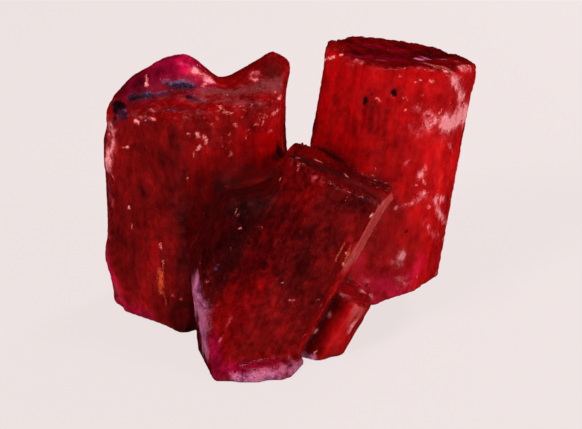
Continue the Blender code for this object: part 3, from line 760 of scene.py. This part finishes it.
# what one crystal would give each point, and how near the point is to that crystal's faces
def crystalFacts(crystal, points, normals, s):
    own, reach, gap = insideCrystal(crystal, points)
    end = step(normals @ crystalAxes(crystal)[0], *s["endTurn"])
    weights = np.exp(-((reach - reach.max(1)[:, None]) / s["sideBlend"]) ** 2)
    weights /= weights.sum(1)[:, None]

    def bySide(amounts):
        return weights @ np.array(amounts, float) * (1 - end)

    facts = {
        "speckle": crystal["speckle"],
        "streaked": crystal["streaked"],
        "relief": crystal["relief"],
        "endFace": end,
        "grit": crystal["grit"] * end,
        "blush": bySide(crystal["blush"]),
        # painted light and shade: each side and end made lighter or darker as the light falls on it
        "tone": crystal["tone"] + bySide(crystal["sides"]) + crystal["end"] * end,
        "satin": 0.0,
    }
    # a painted sheen on one side, fading in up the crystal
    if "satin" in crystal:
        side, low, high, power = crystal["satin"]
        facts["satin"] = power * weights[:, side] * step(own[:, 2], low, high) * (1 - end)
    return own, facts, np.abs(gap) + crystal.get("yields", 0.0)


# what the trees and the materials need to know about each point
def describeSurface(mesh, s):
    points, normals = pointsOf(mesh)
    edges = edgesOf(mesh)
    nearest = np.full(len(points), np.inf)
    space = np.zeros((len(points), 3))
    facts = {}
    for k, crystal in enumerate(crystals.values()):
        own, given, near = crystalFacts(crystal, points, normals, s)
        mine = near < nearest
        nearest[mine] = near[mine]
        space[mine] = (own + np.array(s["spaceStep"]) * k)[mine]
        for name, values in given.items():
            facts[name] = np.where(mine, values, facts.get(name, 0.0))
    fine = ((points - spread(points, edges, s["fineTimes"])) * normals).sum(1)
    broad = ((points - spread(points, edges, s["broadTimes"])) * normals).sum(1)
    crevice = np.clip(-broad / s["creviceFull"], 0, 1)
    base = step(points[:, 2], *s["baseBand"])
    store(mesh, "crystalSpace", space)
    store(mesh, "speckle", facts["speckle"])
    store(mesh, "streaked", facts["streaked"])
    store(mesh, "endFace", spread(facts["endFace"], edges, s["blurTimes"]))
    store(mesh, "tone", spread(facts["tone"], edges, s["blurTimes"]))
    store(mesh, "wear", np.clip(spread(fine, edges, 1) / s["wearFull"], 0, 1))
    store(mesh, "crevice", crevice)
    store(mesh, "relief", base * facts["relief"])
    grit = facts["grit"] + s["creviceGrit"] * crevice
    least = {"rose": facts["blush"], "band": facts["satin"], "grit": grit}
    for name in hiddenMarks:
        rows = marks[name] + hiddenRows(name, points, hiddenField)
        strength = np.maximum(markStrength(points, rows, name in softMarks), least.get(name, 0.0))
        store(mesh, name, strength * base if name == "grit" else strength)


# sharp edges eased all over, some places pushed in or out, healed joints relaxed towards their surroundings
def shapeCorners(mesh, s):
    points, _ = pointsOf(mesh)
    edges = edgesOf(mesh)
    for _ in range(s["evenTimes"]):
        points = points + (spread(points, edges, 1) - points) * s["evenShare"]
    for across, down, radius, push in s["nudges"]:
        away = np.linalg.norm(points - frontPlace(frontView, stoneSurface, across, down), axis=1) / radius
        points = points + np.exp(-away * away)[:, None] * np.array(push)
    points[:, 2] = np.maximum(points[:, 2], 0)
    weight = markStrength(points, marks["rounded"], True)[:, None]
    for _ in range(s["softenTimes"]):
        points = points + (spread(points, edges, 1) - points) * weight
    mesh.vertices.foreach_set("co", (points * mm).astype(np.float32).ravel())
    mesh.update()


reliefSizes = {  # mm; a depth is what the whole swing of a noise would move
    "Streak Depth": 0.09,
    "Streak Width": 1.1,
    "Lump Depth": 0.12,
    "Lump Size": 2.6,
    "End Depth": 0.60,
    "End Size": 1.7,
    "Wear Depth": 0.20,
}
reliefNoises = {  # squeeze along the growth, detail, roughness, distortion
    "streaks": (0.07, 3, 0.6, 0.0),
    "lumps": (0.6, 4, 0.55, 0.4),
    "end": (1.0, 5, 0.62, 0.6),
}
endRidge = 0.12  # how near the middle of its noise the broken end stands out
nibbles = {"scale": 0.9, "detail": 4, "roughness": 0.6, "from": 0.42, "to": 0.62}  # bites out of worn edges
geometrySocket = {"Geometry": "NodeSocketGeometry"}


def readAttribute(tree, name, kind="FLOAT"):
    node = addNode(tree, "GeometryNodeInputNamedAttribute", {"Name": name}, data_type=kind)
    return node.outputs["Attribute"]


# streaks along each crystal, low lumps, a rough broken end and worn edges, all moved along the normal
def reliefTree():
    tree, given, result = newGroup(
        "growthRelief",
        "GeometryNodeTree",
        {**geometrySocket, "Stone": "NodeSocketMaterial", **dict.fromkeys(reliefSizes, 1.0)},
        geometrySocket,
    )
    space = readAttribute(tree, "crystalSpace", "FLOAT_VECTOR")
    end = readAttribute(tree, "endFace")
    streaks = centred(tree, grownNoise(tree, space, given["Streak Width"], *reliefNoises["streaks"]))
    streaks = times(tree, streaks, times(tree, given["Streak Depth"], maths(tree, "SUBTRACT", 1.0, end)))
    lumps = centred(tree, grownNoise(tree, space, given["Lump Size"], *reliefNoises["lumps"]))
    lumps = times(tree, lumps, given["Lump Depth"])
    rough = grownNoise(tree, space, given["End Size"], *reliefNoises["end"])
    ridged = maths(tree, "SUBTRACT", endRidge, maths(tree, "ABSOLUTE", centred(tree, rough)))
    broken = times(tree, ridged, times(tree, given["End Depth"], end))
    bites = noise(tree, space, nibbles["scale"], nibbles["detail"], nibbles["roughness"])
    bites = times(tree, remap(tree, bites, nibbles["from"], nibbles["to"]), readAttribute(tree, "wear"))
    worn = times(tree, bites, times(tree, given["Wear Depth"], -1.0))
    total = maths(tree, "ADD", maths(tree, "ADD", streaks, lumps), maths(tree, "ADD", broken, worn))
    total = times(tree, times(tree, total, readAttribute(tree, "relief")), mm)
    move = vectorMaths(tree, "SCALE", addNode(tree, "GeometryNodeInputNormal").outputs["Normal"], total)
    moved = addNode(tree, "GeometryNodeSetPosition", {"Geometry": given["Geometry"], "Offset": move})
    real = addNode(tree, "GeometryNodeRealizeInstances", {"Geometry": moved.outputs["Geometry"]})
    dressed = {"Geometry": real.outputs["Geometry"], "Material": given["Stone"]}
    feed(tree, result["Geometry"], addNode(tree, "GeometryNodeSetMaterial", dressed).outputs["Geometry"])
    return tree


mottleLayers = {  # which size it has, times finer, squeeze along the growth, detail, roughness, distortion
    "Cloud": ("Cloud Size", 1.0, 0.55, 3, 0.55, 0.6),
    "Patch": ("Cloud Size", 2.2, 0.7, 1.4, 0.45, 0.35),
    "Grain": ("Grain Size", 1.0, 0.8, 2, 0.5, 0.4),
    "Streak": ("Streak Width", 1.0, 0.06, 3, 0.6, 0.0),
    "Fine": ("Grain Size", 3.2, 1.0, 2, 0.6, 0.0),
}


# cloudy and fine variation of one stone, stretched along the growth direction
def mottleGroup():
    tree, given, result = newGroup(
        "stoneMottle",
        "ShaderNodeTree",
        {"Vector": "NodeSocketVector", "Cloud Size": 4.2, "Grain Size": 0.8, "Streak Width": 0.7},
        dict.fromkeys(mottleLayers, "NodeSocketFloat"),
    )
    for layer, (size, finer, squeeze, detail, roughness, distortion) in mottleLayers.items():
        shape = (squeeze, detail, roughness, distortion, finer)
        feed(tree, result[layer], grownNoise(tree, given["Vector"], given[size], *shape))
    return tree


# a painted mask with its border broken up by noise
def brokenMaskGroup():
    tree, given, result = newGroup(
        "brokenMask",
        "ShaderNodeTree",
        {"Mask": 0.0, "Noise": 0.5, "Break Up": 0.8, "Low": 0.35, "High": 0.75},
        {"Mask": "NodeSocketFloat"},
    )
    swing = times(tree, centred(tree, given["Noise"]), given["Break Up"])
    there = maths(tree, "MINIMUM", times(tree, given["Mask"], 4.0), 1.0)  # no swing where nothing is painted
    value = maths(tree, "ADD", given["Mask"], times(tree, swing, there))
    feed(tree, result["Mask"], remap(tree, value, given["Low"], given["High"]))
    return tree


fleckBend = (3.4, 1.1)  # scale and reach of the noise that bends the cells, so that no spot is round
fleckSizes = {"least": 0.35, "more": 0.8, "solid": 0.55}  # in parts of the radius


# tiny bright spots, partly painted sparkle, a share of a fine cell pattern
def fleckGroup():
    tree, given, result = newGroup(
        "brightFlecks",
        "ShaderNodeTree",
        {"Vector": "NodeSocketVector", "Cell Size": 0.7, "Share": 0.05, "Radius": 0.3},
        {"Mask": "NodeSocketFloat"},
    )
    place = vectorMaths(tree, "ADD", given["Vector"], noisePush(tree, given["Vector"], *fleckBend))
    fineness = maths(tree, "DIVIDE", 1.0, given["Cell Size"])
    cells = addNode(tree, "ShaderNodeTexVoronoi", {"Vector": place, "Scale": fineness}, feature="F1")
    parts = addNode(tree, "ShaderNodeSeparateColor", {0: cells.outputs["Color"]}).outputs
    chosen = maths(tree, "LESS_THAN", parts[0], given["Share"])
    size = times(tree, given["Radius"], addUp(tree, fleckSizes["least"], (parts[1], fleckSizes["more"])))
    outward = remap(tree, maths(tree, "DIVIDE", cells.outputs["Distance"], size), fleckSizes["solid"], 1.0)
    feed(tree, result["Mask"], times(tree, chosen, maths(tree, "SUBTRACT", 1.0, outward)))
    return tree


groups = {"mottle": mottleGroup(), "mask": brokenMaskGroup(), "fleck": fleckGroup()}

rubyLook = {
    "ior": 1.77,
    "transmission": 0.3,
    "specular": 0.3,
    "coat": 0.08,
    "coatRoughness": 0.1,
    "absorb": {"Color": (0.96, 0.03, 0.05, 1), "Density": 1400.0},
    "mottle": {"Cloud Size": 4.4, "Grain Size": 0.85, "Streak Width": 0.75},  # mm
    "stops": [  # the stone's own red, from dark to bright
        (0.00, (0.014, 0.0003, 0.0006)),
        (0.25, (0.055, 0.0005, 0.001)),
        (0.50, (0.185, 0.0005, 0.001)),
        (0.72, (0.410, 0.0010, 0.002)),
        (0.90, (0.630, 0.0020, 0.004)),
        (1.00, (0.800, 0.0140, 0.012)),
    ],
    "level": {  # where on those stops a place is: the start, and how much each thing adds
        # tone carries painted light and shade, glow is partly painted light, deep partly painted shade,
        # crevice is painted shade
        "start": 0.45, "tone": 0.55, "glow": 0.17, "deep": -0.22, "crevice": -0.12,
        "Cloud": 0.38, "Patch": 0.32, "Grain": 0.62, "Fine": 0.42,
    },
    "patterns": {  # layers of the mottle mixed to break up the marks
        "veil": {"Fine": 0.17, "Grain": 0.33, "Patch": 0.5},
        "crumbly": {"Grain": 0.3, "Fine": 0.7},
        "streaky": {"Patch": 0.4, "Streak": 0.6},
        "fine": {"Fine": 1.0},
    },
    "masks": {  # low, high, how far a pattern breaks it up, which pattern
        "magenta": (0.20, 0.90, 0.9, "veil"),
        "rose": (0.20, 1.10, 2.2, "veil"),
        "slate": (0.25, 0.90, 3.4, "veil"),
        "mist": (0.20, 1.10, 2.4, "veil"),
        "lilac": (0.15, 1.00, 1.5, "veil"),
        "band": (0.40, 1.00, 2.2, "streaky"),
        "ember": (0.35, 1.20, 2.6, "crumbly"),
        "frost": (0.02, 1.05, 3.0, "veil"),
        "chip": (0.12, 1.15, 2.4, "crumbly"),
        "soot": (0.30, 0.80, 1.4, "fine"),
    },
    "paints": {  # in the order of painting: tint, amount, contrast of its fine texture
        "rose": ((0.300, 0.055, 0.065), 0.60, 0.60),
        "slate": ((0.024, 0.014, 0.045), 0.90, 1.40),
        "mist": ((0.190, 0.120, 0.250), 0.90, 0.90),
        "lilac": ((0.690, 0.165, 0.325), 0.85, 0.60),
        "band": ((0.600, 0.082, 0.080), 0.95, 0.40),
        "ember": ((0.780, 0.085, 0.025), 0.80, 0.60),
        "frost": ((0.980, 0.310, 0.340), 0.90, 0.25),
        "chip": ((0.930, 0.250, 0.240), 0.90, 0.30),
        "soot": ((0.006, 0.001, 0.002), 0.95, 0.60),
    },
    "thin": {  # tint where a mark is thin, and the thickness over which it turns into its own tint
        "lilac": ((0.340, 0.050, 0.200), 0.37, 0.54),
        "frost": ((0.600, 0.035, 0.050), 0.25, 0.95),
        "chip": ((0.620, 0.030, 0.030), 0.15, 0.70),
    },
    "shades": (0.3, 0.7, 0.4),  # the fine layer from and to, and its bright side's share of a tint's contrast
    "magenta": (0.520, 0.001, 0.050, 1),
    "magentaAmount": 0.85,
    "magentaStops": [(0.20, (0.10, 0.10, 0.10)), (0.50, (0.50, 0.50, 0.50)), (0.75, (1.3, 1.3, 1.3))],
    "frostBreaks": (0.40, 0.60, 0.70, 1.0),  # the crumbly pattern from and to, and the thickness it leaves
    "paintedGlintCore": {"tint": (0.980, 0.520, 0.520, 1), "from": 1.0, "to": 1.35},  # a painted glint's pale core, only in the strongest chips
    "fleck": {"tint": (0.950, 0.360, 0.330, 1), "amount": 0.5, "bump": 0.5, "squeeze": 0.55},
    "fleckSizes": {"Cell Size": 0.62, "Radius": 0.40},  # mm
    "fleckShare": (0.008, 0.14),  # everywhere, and more where they are strewn
    "specks": {"edge": 0.76, "strewn": -0.10, "width": 0.07, "amount": 0.35},
    # worn edges lightened: partly real wear, partly a painted edge highlight
    "worn": {"from": 0.35, "to": 1.0, "grainFrom": 0.45, "grainTo": 0.65, "amount": 0.03},
    # the start, and how much each thing adds
    "roughness": {"start": 0.08, "grain": 0.24, "end": 0.06, "pale": 0.28, "crevice": 0.10, "dull": 0.45},
    "bumps": {"Fine": 0.45, "Grain": 0.9, "Streak": 0.7},
    "bumpHeight": 0.044,  # mm
}


def attributeOf(tree, name, output="Fac"):
    node = addNode(tree, "ShaderNodeAttribute", attribute_name=name, attribute_type="GEOMETRY")
    return node.outputs[output]


# how bright a place is: the tone of its crystal and side, which carries painted light and shade, marks,
# clouds, streaks, grain, and painted shade in the crevices
def rubyLevel(tree, s, mottle):
    level = s["start"]
    for fact in ("tone", "glow", "deep"):
        level = addUp(tree, level, (attributeOf(tree, fact), s[fact]))
    for layer in ("Cloud", "Patch"):
        level = addUp(tree, level, (centred(tree, mottle[layer]), s[layer]))
    level = addUp(tree, level, (centred(tree, mottle["Streak"]), attributeOf(tree, "streaked")))
    speckle = attributeOf(tree, "speckle")
    for layer in ("Grain", "Fine"):
        level = addUp(tree, level, (centred(tree, mottle[layer]), times(tree, speckle, s[layer])))
    # painted shade: crevices made darker
    return addUp(tree, level, (attributeOf(tree, "crevice"), s["crevice"]))


def mixedLayers(tree, shares, mottle):
    return addUp(tree, 0.0, *((mottle[layer], share) for layer, share in shares.items()))


def markMasks(tree, s, patterns):
    masks = {}
    for mark, (low, high, breakUp, pattern) in s.items():
        given = {"Mask": attributeOf(tree, mark), "Noise": patterns[pattern]}
        given.update({"Break Up": breakUp, "Low": low, "High": high})
        masks[mark] = useGroup(tree, groups["mask"], given).outputs["Mask"]
    return masks


# a mark's tint with a fine texture, and its thin tint where its thickness is low
def markTint(tree, s, mark, fine, thickness):
    tint, _, contrast = s["paints"][mark]
    if thickness:
        thin, low, high = s["thin"][mark]
        tint = mixColour(tree, remap(tree, thickness, low, high), (*thin, 1), (*tint, 1))
    low, high, brighter = s["shades"]
    shade = remap(tree, fine, low, high, 1.0 - contrast, 1.0 + brighter * contrast, "LINEAR")
    return vectorMaths(tree, "SCALE", tint, shade)


# the stone's red with every kind of mark painted over it in turn
def paintedRed(tree, s, level, mottle, patterns, masks):
    thickness = {
        "lilac": patterns["veil"],
        "frost": times(tree, masks["frost"], remap(tree, patterns["crumbly"], *s["frostBreaks"])),
        "chip": masks["chip"],
    }
    colour = ramp(tree, level, s["stops"])
    magentaTone = mixColour(tree, 1.0, s["magenta"], ramp(tree, level, s["magentaStops"]), "MULTIPLY")
    colour = mixColour(tree, times(tree, masks["magenta"], s["magentaAmount"]), colour, magentaTone)
    for mark, (_, amount, _) in s["paints"].items():
        tint = markTint(tree, s, mark, mottle["Fine"], thickness.get(mark))
        colour = mixColour(tree, times(tree, masks[mark], amount), colour, tint)
        # the strongest chips get the pale core of a painted glint
        if mark == "chip":
            core = remap(tree, attributeOf(tree, "chip"), s["paintedGlintCore"]["from"], s["paintedGlintCore"]["to"])
            colour = mixColour(tree, times(tree, core, masks["chip"]), colour, s["paintedGlintCore"]["tint"])
    return colour


# bright flecks of a few tenths of a millimetre, partly painted sparkle, more of them where they are strewn
def fleckMask(tree, s, space, strewn):
    everywhere, more = s["fleckShare"]
    drawn = vectorMaths(tree, "MULTIPLY", space, (1, 1, s["fleck"]["squeeze"]))
    given = {"Vector": drawn, "Share": addUp(tree, everywhere, (strewn, more)), **s["fleckSizes"]}
    return useGroup(tree, groups["fleck"], given).outputs["Mask"]


# still finer specks, partly painted sparkle, also more where they are strewn
def speckMask(tree, s, fine, strewn):
    edge = addUp(tree, s["edge"], (strewn, s["strewn"]))
    return remap(tree, fine, edge, maths(tree, "ADD", edge, s["width"]))


# worn edges lightened with the frost tint: partly real wear, partly a painted edge highlight
def wornMask(tree, s, grain):
    worn = remap(tree, attributeOf(tree, "wear"), s["from"], s["to"])
    return times(tree, worn, remap(tree, grain, s["grainFrom"], s["grainTo"]))


def rubyRoughness(tree, s, grain, masks, dull):
    pale = maths(tree, "MAXIMUM", masks["frost"], masks["lilac"])
    rough = addUp(tree, s["start"], (grain, s["grain"]), (attributeOf(tree, "endFace"), s["end"]))
    rough = addUp(tree, rough, (pale, s["pale"]), (attributeOf(tree, "crevice"), s["crevice"]))
    return addUp(tree, rough, (dull, s["dull"]))


# the loose grains have no crystal of their own, so their patterns lie straight in the piece
def rubyMaterial(name, s, grains=False):
    material = bpy.data.materials.new(name)
    material.use_nodes = True
    tree = material.node_tree
    surface = tree.nodes["Principled BSDF"]
    if grains:
        space = vectorMaths(tree, "SCALE", addNode(tree, "ShaderNodeTexCoord").outputs["Object"], 1 / mm)
    else:
        space = attributeOf(tree, "crystalSpace", "Vector")
    mottle = useGroup(tree, groups["mottle"], {"Vector": space, **s["mottle"]}).outputs
    patterns = {pattern: mixedLayers(tree, shares, mottle) for pattern, shares in s["patterns"].items()}
    masks = markMasks(tree, s["masks"], patterns)
    strewn, dull = attributeOf(tree, "flecks"), attributeOf(tree, "dull")
    fleck = fleckMask(tree, s, space, strewn)

    colour = paintedRed(tree, s, rubyLevel(tree, s["level"], mottle), mottle, patterns, masks)
    for mask, amount, tint in (
        (fleck, s["fleck"]["amount"], s["fleck"]["tint"]),
        (speckMask(tree, s["specks"], mottle["Fine"], strewn), s["specks"]["amount"], s["fleck"]["tint"]),
        (wornMask(tree, s["worn"], mottle["Grain"]), s["worn"]["amount"], (*s["paints"]["frost"][0], 1)),
    ):
        colour = mixColour(tree, times(tree, mask, amount), colour, tint)
    feed(tree, surface.inputs["Base Color"], colour)
    rough = rubyRoughness(tree, s["roughness"], mottle["Grain"], masks, dull)
    feed(tree, surface.inputs["Roughness"], rough)
    coat = maths(tree, "MULTIPLY_ADD", dull, -s["coat"], s["coat"], clamp=True)
    feed(tree, surface.inputs["Coat Weight"], coat)

    height = addUp(tree, mixedLayers(tree, s["bumps"], mottle), (fleck, s["fleck"]["bump"]))
    bumps = {"Height": height, "Distance": s["bumpHeight"] * mm, "Strength": 1.0}
    feed(tree, surface.inputs["Normal"], addNode(tree, "ShaderNodeBump", bumps).outputs["Normal"])

    plain = {"IOR": s["ior"], "Transmission Weight": s["transmission"]}
    setPlain(surface, {**plain, "Specular IOR Level": s["specular"], "Coat Roughness": s["coatRoughness"]})
    soak = addNode(tree, "ShaderNodeVolumeAbsorption", s["absorb"])
    feed(tree, tree.nodes["Material Output"].inputs["Volume"], soak.outputs["Volume"])
    return material


ruby = rubyMaterial("rubyStone", rubyLook)


def makeCluster(s, stone):
    piece = copyNode("ruby_crystal_cluster", "rubyCluster", s["merge"])
    mesher = piece.modifiers.new("even", "REMESH")
    mesher.mode = "VOXEL"
    mesher.voxel_size = s["voxel"] * mm
    fitter = piece.modifiers.new("flatten", "SHRINKWRAP")
    fitter.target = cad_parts["ruby_crystal_cluster"]
    fitter.wrap_method = "NEAREST_SURFACEPOINT"
    applied(piece)
    shapeCorners(piece.data, s)
    describeSurface(piece.data, s)
    addTree(piece, reliefTree(), {"Stone": stone, **reliefSizes})
    applied(piece)
    describeSurface(piece.data, s)
    faces = piece.data.polygons
    faces.foreach_set("use_smooth", np.ones(len(faces), bool))
    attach(piece, "root")
    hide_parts("ruby_crystal_cluster")
    triangles = sum(len(face.vertices) - 2 for face in faces)
    print("cluster:", len(piece.data.vertices), "points,", triangles, "triangles")
    return piece


rubyCluster = makeCluster(cluster, ruby)

grains = {
    "inputs": {
        "Density": 1.6e6,  # grains on a square metre where the growth is roughest
        "Spacing": 0.45 * mm,
        "Smallest": 0.12 * mm,
        "Largest": 0.34 * mm,
        "Sink": 0.10 * mm,
        "Uneven": 0.10 * mm,
        "Seed": 11,
    },
    "prism": {"Vertices": 6, "Radius": 0.8, "Depth": 2.2},  # in parts of the grain's size
    "crumb": {"Radius": 1.0, "Subdivisions": 2},
    "squeeze": {"Min": (0.7, 0.7, 0.8), "Max": (1.2, 1.2, 1.5)},
    "turn": {"Max": (6.28, 6.28, 6.28)},  # radians
    "unevenScale": 2600.0,  # of the noise that makes each grain uneven
}


# little six-sided crystals and crumbs half sunk in the stone where its growth is rough
def grainTree(s):
    tree, given, result = newGroup(
        "growthGrains",
        "GeometryNodeTree",
        {**geometrySocket, "Stone": "NodeSocketMaterial", **s["inputs"]},
        geometrySocket,
    )
    seed = {"Seed": given["Seed"]}
    spots = {"Mesh": given["Geometry"], "Distance Min": given["Spacing"], "Density Max": given["Density"]}
    spots.update({"Density Factor": readAttribute(tree, "grit"), **seed})
    points = addNode(tree, "GeometryNodeDistributePointsOnFaces", spots, distribute_method="POISSON")
    shapes = addNode(tree, "GeometryNodeJoinGeometry")
    for kind, sizes in (("GeometryNodeMeshCylinder", s["prism"]), ("GeometryNodeMeshIcoSphere", s["crumb"])):
        shape = addNode(tree, kind, sizes).outputs["Mesh"]
        feed(tree, shapes.inputs[0], addNode(tree, "GeometryNodeGeometryToInstance", {0: shape}).outputs[0])

    def randomOf(inputs, kind, output):
        return addNode(tree, "FunctionNodeRandomValue", {**inputs, **seed}, data_type=kind).outputs[output]

    turn = randomOf(s["turn"], "FLOAT_VECTOR", 0)
    size = randomOf({2: given["Smallest"], 3: given["Largest"]}, "FLOAT", 1)
    squeeze = randomOf(s["squeeze"], "FLOAT_VECTOR", 0)
    sink = vectorMaths(tree, "SCALE", points.outputs["Normal"], times(tree, given["Sink"], -1.0))
    sunk = addNode(tree, "GeometryNodeSetPosition", {"Geometry": points.outputs["Points"], "Offset": sink})
    placed = addNode(
        tree,
        "GeometryNodeInstanceOnPoints",
        {
            "Points": sunk.outputs[0],
            "Instance": shapes.outputs[0],
            "Pick Instance": True,
            "Rotation": turn,
            "Scale": vectorMaths(tree, "SCALE", squeeze, size),
        },
    )
    real = addNode(tree, "GeometryNodeRealizeInstances", {"Geometry": placed.outputs["Instances"]})
    place = addNode(tree, "GeometryNodeInputPosition").outputs[0]
    shake = noisePush(tree, place, s["unevenScale"], given["Uneven"])
    moved = addNode(tree, "GeometryNodeSetPosition", {"Geometry": real.outputs[0], "Offset": shake})
    dressed = {"Geometry": moved.outputs[0], "Material": given["Stone"]}
    feed(tree, result["Geometry"], addNode(tree, "GeometryNodeSetMaterial", dressed).outputs[0])
    return tree


def makeGrains(s, ground, stone):
    piece = linkObject("growthGrains", ground.data.copy())
    piece.data.materials.clear()
    addTree(piece, grainTree(s), {"Stone": stone, **s["inputs"]})
    applied(piece)
    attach(piece, "root")
    print("grains:", len(piece.data.vertices), "points")


makeGrains(grains, rubyCluster, rubyMaterial("rubyGrains", rubyLook, grains=True))
